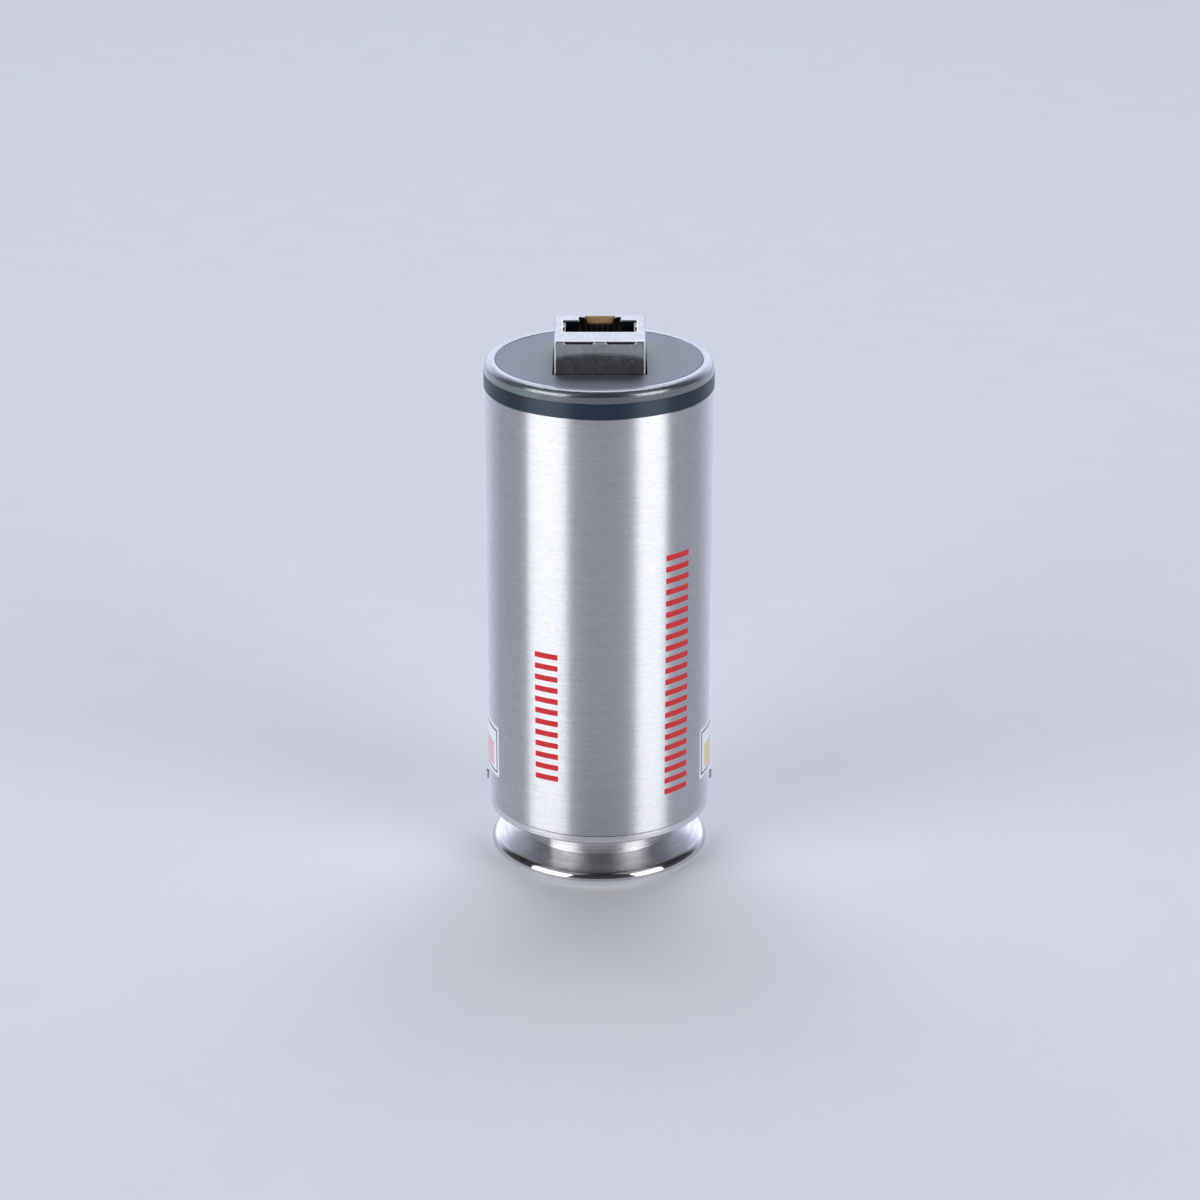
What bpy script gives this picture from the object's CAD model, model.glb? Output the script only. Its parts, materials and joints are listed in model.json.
import json
import math

import bmesh
import bpy
from mathutils import Matrix, Vector


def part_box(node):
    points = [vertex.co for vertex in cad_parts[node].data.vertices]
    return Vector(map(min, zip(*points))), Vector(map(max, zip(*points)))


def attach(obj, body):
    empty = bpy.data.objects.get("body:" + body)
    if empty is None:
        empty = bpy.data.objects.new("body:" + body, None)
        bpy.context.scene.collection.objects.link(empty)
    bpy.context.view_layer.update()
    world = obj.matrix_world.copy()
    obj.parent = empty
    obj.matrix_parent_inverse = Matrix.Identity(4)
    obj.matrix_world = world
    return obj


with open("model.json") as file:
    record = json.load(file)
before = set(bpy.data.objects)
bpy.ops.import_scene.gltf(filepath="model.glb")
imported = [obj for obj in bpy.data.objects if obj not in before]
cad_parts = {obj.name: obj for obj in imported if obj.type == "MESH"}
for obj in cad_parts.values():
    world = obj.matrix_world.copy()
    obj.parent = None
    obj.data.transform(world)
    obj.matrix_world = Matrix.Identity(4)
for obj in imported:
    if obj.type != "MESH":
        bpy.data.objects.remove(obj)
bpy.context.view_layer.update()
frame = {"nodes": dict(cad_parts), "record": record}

mm = 0.001
gauge_middle = Vector((0, 0, 0.05))

# Places and sizes read from the CAD nodes
tube_low, tube_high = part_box("housing_tube")
ring_low, ring_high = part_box("light_ring")
jack_low, jack_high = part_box("jack_shield")
jack_half = (jack_high.x - jack_low.x) / 2
jack_x = (jack_high.x + jack_low.x) / 2
tube_r = tube_high.y

# The flange's turned faces, as pairs of heights or radii between which one gives way to the next
rim_side_end = (0.9 * mm, 1.2 * mm)
taper_start = (2.6 * mm, 2.8 * mm)
taper_end = (3.85 * mm, 3.95 * mm)
lip_inside = (19.8 * mm, 19.9 * mm)
groove_z = tube_low.z - 0.1 * mm          # groove between the tube's edge and the lip
lip_corner_z = tube_low.z - 1.5 * mm      # the lip's lower corner

# The jack shield's opening and slots
mouth_half = 6.55 * mm
mouth_y = jack_low.y + 9.475 * mm
mouth_half_depth = 3.825 * mm
slot_x = 3.625 * mm                       # from the shield's middle to each slot's middle
slot_half = 2.65 * mm
slot_top = jack_high.z - 0.15 * mm
slot_height = 0.4 * mm
slot_slant = 0.75                         # how far the slots' ends lean, a unit of height

# The light ring's lit place
ring_body_z = ring_low.z + 5.2 * mm       # top of the ring's legs
glow_azimuth = -0.69
glow_reach = (0.02, 0.24)


# Materials

class Value:
    """A node's socket that takes part in Python sums. Each sum adds its Math node."""

    def __init__(self, finish, socket):
        self.finish = finish
        self.socket = socket

    def __add__(self, other):
        return self.finish.sum("ADD", self, other)

    def __radd__(self, other):
        return self.finish.sum("ADD", other, self)

    def __sub__(self, other):
        return self.finish.sum("SUBTRACT", self, other)

    def __rsub__(self, other):
        return self.finish.sum("SUBTRACT", other, self)

    def __mul__(self, other):
        return self.finish.sum("MULTIPLY", self, other)

    def __rmul__(self, other):
        return self.finish.sum("MULTIPLY", other, self)


class Graph:
    """A node tree that is built from plain calls."""

    def __init__(self, tree):
        self.tree = tree

    def feed(self, socket, value):
        if isinstance(value, Value):
            self.tree.links.new(value.socket, socket)
        else:
            socket.default_value = value

    def node(self, kind, settings, inputs, output=0):
        """Adds a node: its type, settings, the values or links of its sockets, and the output."""
        node = self.tree.nodes.new("ShaderNode" + kind)
        for key, value in settings.items():
            setattr(node, key, value)
        for key, value in inputs.items():
            self.feed(node.inputs[key], value)
        return Value(self, node.outputs[output])

    def sum(self, operation, *terms):
        return self.node("Math", {"operation": operation}, dict(enumerate(terms)))

    def step(self, value, low, high, to_low=0.0, to_high=1.0):
        """A smooth step of the value between low and high."""
        return self.node("MapRange", {"interpolation_type": "SMOOTHSTEP"},
                         {"Value": value, "From Min": low, "From Max": high,
                          "To Min": to_low, "To Max": to_high})

    def away(self, value, place):
        """How far the value is from a place, either way."""
        return self.sum("ABSOLUTE", value - place)

    def line(self, value, place, inner, outer):
        """1 within the inner distance from a place, and 0 past the outer one."""
        return 1 - self.step(self.away(value, place), inner, outer)

    def mix(self, factor, first, second):
        """A colour between two colours."""
        first, second = [(*c, 1) if isinstance(c, tuple) else c for c in (first, second)]
        return self.node("Mix", {"data_type": "RGBA"}, {0: factor, 6: first, 7: second}, 2)

    def parts(self, vector):
        return [self.node("SeparateXYZ", {}, {0: vector}, axis) for axis in "XYZ"]


class Finish(Graph):
    """A procedural material round one shader."""

    def __init__(self, name, color, roughness, **constants):
        self.material = bpy.data.materials.new(name)
        self.material.use_nodes = True
        super().__init__(self.material.node_tree)
        self.shader = self.tree.nodes["Principled BSDF"]
        self.set("Base Color", (*color, 1))
        self.set("Roughness", roughness)
        for socket, value in constants.items():
            self.set(socket.replace("_", " "), value)

    def set(self, socket, value):
        self.feed(self.shader.inputs[socket], value)

    def place(self):
        return self.node("TexCoord", {}, {}, "Object")

    def axes(self):
        """The X, Y and Z of a point, in metres."""
        return self.parts(self.place())

    def radius(self):
        x, y, z = self.axes()
        return self.sum("SQRT", x * x + y * y)

    def point(self, x, y, z):
        return self.node("CombineXYZ", {}, {"X": x, "Y": y, "Z": z})

    def stretched(self, scale):
        """Object coordinates times a scale along each axis, in cycles a metre."""
        return self.node("Mapping", {"vector_type": "POINT"},
                         {"Vector": self.place(), "Scale": scale})

    def even(self, scale):
        """Object coordinates times one scale, in cycles a metre."""
        return self.stretched((scale, scale, scale))

    def noise(self, vector, detail=3.0, rough=0.55):
        return self.node("TexNoise", {}, {"Vector": vector, "Scale": 1.0, "Detail": detail,
                                          "Roughness": rough})

    def bump(self, height, strength=1.0, depth=1.0 * mm):
        self.set("Normal", self.node("Bump", {}, {"Strength": strength, "Distance": depth,
                                                  "Height": height}))

    def shade(self, factor, dark, light):
        self.set("Base Color", self.mix(factor, dark, light))


def brushed_tube():
    """Stainless steel brushed round the tube: long thin streaks, sharp along them, soft across."""
    finish = Finish("brushed_tube", (0.62, 0.62, 0.645), 0.37, Metallic=1.0, Anisotropic=1.0,
                    Anisotropic_Rotation=0.25)
    fine = finish.noise(finish.stretched((900, 900, 8500)), detail=4, rough=0.6)
    broad = finish.noise(finish.stretched((110, 110, 2200)))
    streaks = fine * 0.7 + broad * 0.3
    finish.shade(finish.step(streaks, 0.36, 0.64), (0.66, 0.66, 0.69), (0.8, 0.8, 0.83))
    finish.set("Roughness", finish.step(streaks, 0.3, 0.7, 0.35, 0.4))
    finish.bump(fine, 0.2, 0.005 * mm)
    return finish.material


def turned_steel():
    """Fine turned stainless steel: rings that the tool left, and dark seams at the lip."""
    finish = Finish("turned_steel", (0.6, 0.595, 0.61), 0.14, Metallic=1.0, Anisotropic=1.0,
                    Anisotropic_Rotation=0.25)
    x, y, z = finish.axes()
    radius = finish.radius()
    rings = finish.noise(finish.point(radius * 4200, z * 4200, x * 40), rough=0.5)
    marks = finish.noise(finish.point(radius * 8000, z * 8000, 0), detail=1)
    cloud = finish.noise(finish.even(260))

    outside = finish.step(radius, *lip_inside)
    groove = finish.line(z, groove_z, 0.09 * mm, 0.11 * mm)
    corner = finish.line(z, lip_corner_z, 0.05 * mm, 0.1 * mm)
    taper = finish.step(z, *taper_start) * (1 - finish.step(z, *taper_end))
    neck = finish.step(z, *taper_end)
    side = (1 - finish.step(z, *rim_side_end)) * outside

    plain = finish.mix(finish.step(rings * 0.5 + cloud * 0.5, 0.35, 0.65),
                       (0.58, 0.575, 0.59), (0.64, 0.635, 0.65))
    plain = finish.mix(neck, plain, (0.76, 0.75, 0.77))
    plain = finish.mix(side, plain, (0.95, 0.95, 0.97))
    finish.shade((groove + corner) * outside, plain, (0.04, 0.04, 0.045))
    finish.set("Roughness",
               finish.step(rings, 0.3, 0.7, 0.11, 0.15) + taper * 0.05 + neck * 0.06)
    finish.bump(rings * 0.002 + (marks - 0.5) * (taper + neck * 0.6), 1.0, 0.1 * mm)
    return finish.material


def shield_sheet():
    """Smooth plated sheet with faint clouds, small specks and fine scratches.

    Its bends, its top fold and the edges of its opening and slots are burnished bright."""
    finish = Finish("shield_sheet", (0.3, 0.3, 0.312), 0.1, Metallic=0.9)
    cloud = finish.noise(finish.even(420), detail=5, rough=0.65)
    specks = finish.step(finish.noise(finish.even(2100)), 0.57, 0.72)
    scratches = finish.line(finish.noise(finish.even(300)), 0.5, 0.002, 0.006)
    marks = finish.sum("MAXIMUM", specks * 0.5,
                       scratches * finish.step(cloud, 0.5, 0.6) * 0.6)

    x, y, z = finish.axes()
    across = finish.away(x, jack_x)
    front = 1 - finish.step(y, jack_low.y + 0.2 * mm, jack_low.y + 0.4 * mm)
    bends = finish.step(across, jack_half - 0.34 * mm, jack_half - 0.24 * mm) * front
    fold = finish.step(z, jack_high.z - 0.16 * mm, jack_high.z - 0.06 * mm) * front
    mouth = finish.sum("MAXIMUM", across - mouth_half,
                       finish.away(y, mouth_y) - mouth_half_depth)
    mouth_edge = finish.line(mouth, 0.06 * mm, 0.06 * mm, 0.12 * mm)
    drop = slot_top - z
    beside_slot = (finish.step(drop, -0.05 * mm, 0.0) *
                   (1 - finish.step(drop, slot_height, slot_height + 0.15 * mm)) * front)
    slot = finish.away(across, slot_x) - slot_half + drop * slot_slant
    slot_ends = finish.line(slot, 0.1 * mm, 0.08 * mm, 0.16 * mm) * beside_slot
    bright = finish.sum("MINIMUM", bends + fold + mouth_edge + slot_ends, 1.0)

    plain = finish.mix(finish.step(cloud, 0.35, 0.65), (0.26, 0.26, 0.272), (0.315, 0.315, 0.328))
    plain = finish.mix(marks, plain, (0.6, 0.6, 0.61))
    finish.shade(bright, plain, (0.86, 0.84, 0.82))
    finish.set("Roughness",
               finish.step(cloud, 0.3, 0.7, 0.08, 0.12) + marks * 0.25 + bright * 0.4)
    finish.bump(z * 40 + (cloud * 0.6 + marks * 0.4) * 0.0003)
    return finish.material


def plain_metal(name, dark, light, roughness, metallic=1.0):
    """A plated or rolled metal with faint clouds and a fine grain."""
    finish = Finish(name, light, roughness, Metallic=metallic)
    cloud = finish.noise(finish.even(225), detail=4)
    fine = finish.noise(finish.even(3600), detail=2)
    finish.shade(finish.step(cloud, 0.35, 0.65), dark, light)
    finish.set("Roughness", finish.step(cloud * 0.6 + fine * 0.4, 0.3, 0.7,
                                        roughness * 0.8, roughness * 1.25))
    finish.bump(fine, 0.2, 0.01 * mm)
    return finish.material


def moulded(name, dark, light, roughness, grain=1800, depth=0.01 * mm, **constants):
    """A moulded plastic with a fine spark-eroded grain."""
    finish = Finish(name, light, roughness, **constants)
    cloud = finish.noise(finish.even(150))
    fine = finish.noise(finish.even(grain), rough=0.6)
    finish.shade(finish.step(cloud * 0.4 + fine * 0.6, 0.35, 0.65), dark, light)
    finish.set("Roughness", finish.step(fine, 0.3, 0.7, roughness * 0.88, roughness * 1.12))
    finish.bump(fine, 0.25, depth)
    return finish.material


def board():
    """Solder mask over copper tracks that run square to each other."""
    finish = Finish("board", (0.02, 0.16, 0.07), 0.35)
    x, y, z = finish.axes()
    lines = finish.sum("MAXIMUM", finish.sum("SINE", x * 5200), finish.sum("SINE", y * 5200))
    fields = finish.noise(finish.stretched((170, 170, 0)), detail=1)
    tracks = finish.step(lines, 0.55, 0.8) * finish.step(fields, 0.5, 0.56)
    finish.shade(tracks, (0.012, 0.12, 0.055), (0.035, 0.24, 0.1))
    finish.bump(tracks, 0.4, 0.03 * mm)
    return finish.material


def winding():
    """Enamelled wire wound in close turns."""
    finish = Finish("winding", (0.55, 0.2, 0.07), 0.3, Metallic=0.6)
    x, y, z = finish.axes()
    turns = finish.sum("SINE", z * 22000)
    finish.shade(finish.step(turns, -0.8, 0.6), (0.3, 0.09, 0.03), (0.62, 0.26, 0.09))
    finish.bump(turns, 0.5, 0.05 * mm)
    return finish.material


def light_guide():
    """Clear frosted plastic; the lamp below its left front gives a green glow."""
    finish = Finish("light_guide", (0.3, 0.32, 0.37), 0.2, IOR=1.95, Transmission_Weight=1.0,
                    Sheen_Weight=1.0, Sheen_Roughness=0.5, Sheen_Tint=(0.85, 0.9, 1.0, 1.0),
                    Coat_Weight=1.0, Coat_Roughness=0.25, Coat_IOR=1.8,
                    Coat_Tint=(0.83, 0.9, 1.0, 1.0), Emission_Strength=1.0)
    cloud = finish.noise(finish.even(300))
    frost = finish.noise(finish.even(2600), detail=2)
    finish.shade(finish.step(cloud, 0.3, 0.7), (0.27, 0.3, 0.37), (0.33, 0.36, 0.43))
    finish.set("Roughness", finish.step(cloud, 0.3, 0.7, 0.17, 0.23))
    x, y, z = finish.axes()
    azimuth = finish.sum("ARCTAN2", x, 0 - y)
    glow = (finish.line(azimuth, glow_azimuth, *glow_reach) *
            (1 - finish.step(z, ring_body_z, ring_high.z)))
    finish.set("Emission Color", finish.mix(glow, (0, 0, 0), (0.012, 0.075, 0.045)))
    finish.bump(cloud * 0.0002 + frost * 0.015)
    return finish.material


def printed_film(name, color):
    """Printed film: smooth, with a faint fibre."""
    finish = Finish(name, color, 0.35)
    fibre = finish.noise(finish.even(1500))
    finish.shade(finish.step(fibre, 0.3, 0.7), tuple(0.93 * part for part in color), color)
    finish.set("Roughness", finish.step(fibre, 0.3, 0.7, 0.3, 0.4))
    return finish.material


# Name: dark and light colour, and roughness
plain_metals = {
    "spring_steel": ((0.42, 0.42, 0.44), (0.56, 0.56, 0.58), 0.3),
    "soft_iron": ((0.3, 0.3, 0.32), (0.42, 0.42, 0.44), 0.38),
    "magnet": ((0.3, 0.3, 0.31), (0.42, 0.42, 0.43), 0.25),
    "can": ((0.6, 0.6, 0.62), (0.72, 0.72, 0.74), 0.3),
    "gold_wire": ((0.75, 0.5, 0.2), (0.9, 0.66, 0.32), 0.4),
}
plain_plastics = {
    "amber_strip": ((0.42, 0.26, 0.12), (0.52, 0.34, 0.17), 0.45),
    "rubber": ((0.012, 0.012, 0.013), (0.022, 0.022, 0.024), 0.6),
    "ceramic": ((0.8, 0.77, 0.72), (0.88, 0.86, 0.82), 0.4),
    "white_plastic": ((0.74, 0.74, 0.72), (0.82, 0.82, 0.8), 0.45),
    "chip": ((0.012, 0.012, 0.013), (0.028, 0.028, 0.03), 0.5),
    "capacitor": ((0.36, 0.23, 0.11), (0.5, 0.35, 0.19), 0.45),
    "lamp": ((0.62, 0.85, 0.68), (0.75, 0.95, 0.8), 0.3),
}

finishes = {maker.__name__: maker() for maker in (
    brushed_tube, turned_steel, shield_sheet, board, winding, light_guide)}
for name, look in plain_metals.items():
    finishes[name] = plain_metal(name, *look)
for name, look in plain_plastics.items():
    finishes[name] = moulded(name, *look)
finishes["ferrite"] = plain_metal("ferrite", (0.05, 0.05, 0.055), (0.1, 0.1, 0.11), 0.55,
                                  metallic=0.2)
finishes["jack_plastic"] = moulded("jack_plastic", (0.006, 0.007, 0.01), (0.01, 0.011, 0.015),
                                   0.1, depth=0.001 * mm)
finishes["cap_plastic"] = moulded("cap_plastic", (0.003, 0.009, 0.024), (0.005, 0.013, 0.031),
                                  0.43, Specular_IOR_Level=0.85,
                                  Specular_Tint=(0.7, 0.86, 1.0, 1.0), Anisotropic=0.9,
                                  Anisotropic_Rotation=0.25)
finishes["disc_plastic"] = moulded("disc_plastic", (0.017, 0.02, 0.038), (0.025, 0.029, 0.05),
                                   0.6, grain=3200, depth=0.02 * mm, Specular_IOR_Level=1.0,
                                   Specular_Tint=(0.74, 0.84, 1.0, 1.0), IOR=1.6,
                                   Coat_Weight=1.0, Coat_Roughness=0.6, Coat_IOR=1.65)

label_white = printed_film("label_white", (0.92, 0.95, 1.0))
label_line = printed_film("label_line", (0.03, 0.045, 0.08))
label_ochre = printed_film("label_ochre", (0.8, 0.67, 0.42))
label_rose = printed_film("label_rose", (0.8, 0.52, 0.6))
print_red = printed_film("print_red", (0.7, 0.012, 0.018))

for row in frame["record"]["subparts"]:
    node = frame["nodes"][row["node"]]
    for place in node.material_slots:
        place.material = finishes[row["material_slot"]]


# Pieces that the CAD leaves to this scene

label_width = 19.2 * mm
label_height = 9.9 * mm
label_corner = 0.5 * mm
label_thickness = 0.05 * mm
label_margin = 0.65 * mm                  # from the label's edge to its frame line
frame_line = 0.36 * mm
frame_corner = 0.05 * mm
field_width = 5.6 * mm
field_height = 4.8 * mm
field_corner = 0.6 * mm
field_drop = 1.0 * mm                     # from the label's middle to its field's
field_turn = 12.7                         # how far the field is turned forwards, in degrees
print_thickness = 0.01 * mm
print_lift = 0.004 * mm
tick_height = 1.05 * mm
tick_pitch = 2.15 * mm
tick_corner = 0.12 * mm


def in_scene(name, shape, material):
    """Turns a bmesh into an object of the scene."""
    mesh = bpy.data.meshes.new(name)
    shape.to_mesh(mesh)
    shape.free()
    mesh.materials.append(material)
    made = bpy.data.objects.new(name, mesh)
    bpy.context.scene.collection.objects.link(made)
    return made


def piece(name, shape, material):
    """Turns a bmesh into a piece that rides on the gauge."""
    bmesh.ops.remove_doubles(shape, verts=shape.verts, dist=1e-7)
    bmesh.ops.recalc_face_normals(shape, faces=shape.faces)
    made = in_scene(name, shape, material)
    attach(made, "root")


def flat_plate(width, height, corner):
    """A flat plate with round corners, width along X and height along Z, facing -Y."""
    shape = bmesh.new()
    bmesh.ops.create_grid(shape, x_segments=1, y_segments=1, size=0.5)
    bmesh.ops.scale(shape, vec=(width, height, 1), verts=shape.verts)
    bmesh.ops.bevel(shape, geom=shape.verts[:], offset=corner, offset_type="OFFSET", segments=5,
                    profile=0.5, affect="VERTICES", material=-1)
    bmesh.ops.rotate(shape, matrix=Matrix.Rotation(math.radians(90), 3, "X"), verts=shape.verts)
    return shape


def strips(shape, width, step):
    """Cuts the plate into upright strips so that it can be bent."""
    count = math.ceil(width / step)
    for index in range(1, count):
        x = width * (index / count - 0.5)
        everything = shape.verts[:] + shape.edges[:] + shape.faces[:]
        bmesh.ops.bisect_plane(shape, geom=everything, dist=1e-8, plane_co=(x, 0, 0),
                               plane_no=(1, 0, 0))


def thicken(shape, thickness):
    """Gives the flat plate its thickness, outwards from the tube."""
    grown = bmesh.ops.extrude_face_region(shape, geom=shape.faces[:])["geom"]
    outer = [part for part in grown if isinstance(part, bmesh.types.BMVert)]
    bmesh.ops.translate(shape, vec=(0, -thickness, 0), verts=outer)


def wrap(shape, azimuth, height, lift):
    """Bends the plate round the tube. Azimuth 0 is the front and 90 the gauge's right side."""
    for vertex in shape.verts:
        x, y, z = vertex.co
        reach = tube_r + lift - y
        angle = math.radians(azimuth) + x / tube_r
        vertex.co = (reach * math.sin(angle), -reach * math.cos(angle), height + z)


def hollow(shape, line):
    """Leaves only a line of the plate along its edge."""
    rim = bmesh.ops.inset_region(shape, faces=shape.faces[:], thickness=line,
                                 use_boundary=True)["faces"]
    inner = [face for face in shape.faces if face not in rim]
    bmesh.ops.delete(shape, geom=inner, context="FACES")


def print_on_label(name, width, height, corner, azimuth, middle, material, line=0):
    """A printed field on the label, or its outline only."""
    shape = flat_plate(width, height, corner)
    if line:
        hollow(shape, line)
    strips(shape, width, 0.6 * mm)
    thicken(shape, print_thickness)
    wrap(shape, azimuth, middle, label_thickness)
    piece(name, shape, material)


def label(name, azimuth, low, field, turn):
    """A white label with a thin dark frame line and one plain pale field."""
    middle = low + label_height / 2
    shape = flat_plate(label_width, label_height, label_corner)
    strips(shape, label_width, 0.6 * mm)
    thicken(shape, label_thickness)
    wrap(shape, azimuth, middle, 0)
    piece(name, shape, label_white)
    print_on_label(name + "_line", label_width - 2 * label_margin,
                   label_height - 2 * label_margin, frame_corner, azimuth, middle, label_line,
                   frame_line)
    print_on_label(name + "_field", field_width, field_height, field_corner, azimuth + turn,
                   middle - field_drop, field)


def tick_column(name, azimuth, width, low, high):
    """A plain printed column of short level bars."""
    column = bmesh.new()
    count = round((high - low - tick_height) / tick_pitch) + 1
    for index in range(count):
        tick = flat_plate(width, tick_height, tick_corner)
        strips(tick, width, 0.7 * mm)
        thicken(tick, print_thickness)
        wrap(tick, azimuth, low + tick_height / 2 + index * tick_pitch, print_lift)
        mesh = bpy.data.meshes.new("tick")
        tick.to_mesh(mesh)
        tick.free()
        column.from_mesh(mesh)
        bpy.data.meshes.remove(mesh)
    piece(name, column, print_red)


label("right_label", 90, 16.45 * mm, label_ochre, -field_turn)
label("left_label", -90, 16.85 * mm, label_rose, field_turn)
tick_column("left_printed_column", -27.5, 4.6 * mm, 20.6 * mm, 44.4 * mm)
tick_column("right_printed_column", 42.8, 5.5 * mm, 17.0 * mm, 63.0 * mm)


# Floor, light and camera

def floor():
    finish = Finish("floor_paint", (0.78, 0.795, 0.85), 0.8)
    grain = finish.noise(finish.even(60), detail=4)
    finish.shade(finish.step(grain, 0.3, 0.7), (0.775, 0.79, 0.845), (0.785, 0.8, 0.855))
    shape = bmesh.new()
    bmesh.ops.create_circle(shape, cap_ends=True, radius=8, segments=96)
    in_scene("floor", shape, finish.material)


def softbox(name, azimuth, elevation, distance, width, height, radiance, color=(1.0, 1.0, 1.0)):
    """A soft lamp that faces the gauge. Azimuth 0 is in front of it and 90 at its right."""
    across = math.radians(azimuth)
    up = math.radians(elevation)
    way = Vector((math.sin(across) * math.cos(up), -math.cos(across) * math.cos(up),
                  math.sin(up)))
    data = bpy.data.lights.new(name, "AREA")
    data.shape = "RECTANGLE"
    data.size = width
    data.size_y = height
    data.energy = radiance * math.pi * width * height
    data.color = color
    made = bpy.data.objects.new(name, data)
    made.location = gauge_middle + way * distance
    made.rotation_euler = way.to_track_quat("Z", "Y").to_euler()
    made.visible_camera = False
    bpy.context.scene.collection.objects.link(made)


def lamps():
    """Two large softboxes stripe the tube; weaker ones above them, and two behind."""
    softbox("left_softbox", azimuth=-53.1, elevation=18, distance=2.0, width=1.51, height=1.25,
            radiance=3.9)
    softbox("right_softbox", azimuth=53.4, elevation=18, distance=2.0, width=1.155, height=1.25,
            radiance=3.9)
    softbox("left_upper_softbox", azimuth=-53.1, elevation=51, distance=2.0, width=1.51,
            height=1.1, radiance=0.35)
    softbox("right_upper_softbox", azimuth=53.4, elevation=51, distance=2.0, width=1.155,
            height=1.1, radiance=0.35)
    softbox("back_softbox", azimuth=180, elevation=17, distance=2.2, width=3.4, height=0.6,
            radiance=0.7, color=(0.86, 0.89, 1.0))
    softbox("top_softbox", azimuth=180, elevation=60, distance=2.0, width=1.6, height=0.9,
            radiance=3.2, color=(0.88, 0.92, 1.0))


def room():
    """A dark room with a bright wall behind the gauge."""
    world = bpy.data.worlds.new("studio")
    world.use_nodes = True
    graph = Graph(world.node_tree)
    x, y, z = graph.parts(graph.node("TexCoord", {}, {}, "Generated"))
    dark = graph.mix(graph.step(z, 0.25, 0.6), (0.06, 0.06, 0.065), (0.04, 0.04, 0.045))
    light = graph.mix(graph.step(y, 0.35, 0.85), dark, (1.07, 1.13, 1.38))
    graph.feed(world.node_tree.nodes["Background"].inputs["Color"], light)
    bpy.context.scene.world = world


def camera():
    """The photograph's viewing angle: 21.4 degrees above the floor, through a long lens."""
    data = bpy.data.cameras.new("camera")
    data.sensor_width = 36
    data.lens = 91.85
    data.clip_start = 0.01
    data.clip_end = 50
    made = bpy.data.objects.new("camera", data)
    made.location = (0.15 * mm, -520.5 * mm, 252.6 * mm)
    made.rotation_euler = (math.radians(68.57), 0, 0)
    bpy.context.scene.collection.objects.link(made)
    bpy.context.scene.camera = made


floor()
lamps()
room()
camera()
bpy.context.scene.view_settings.view_transform = "Standard"
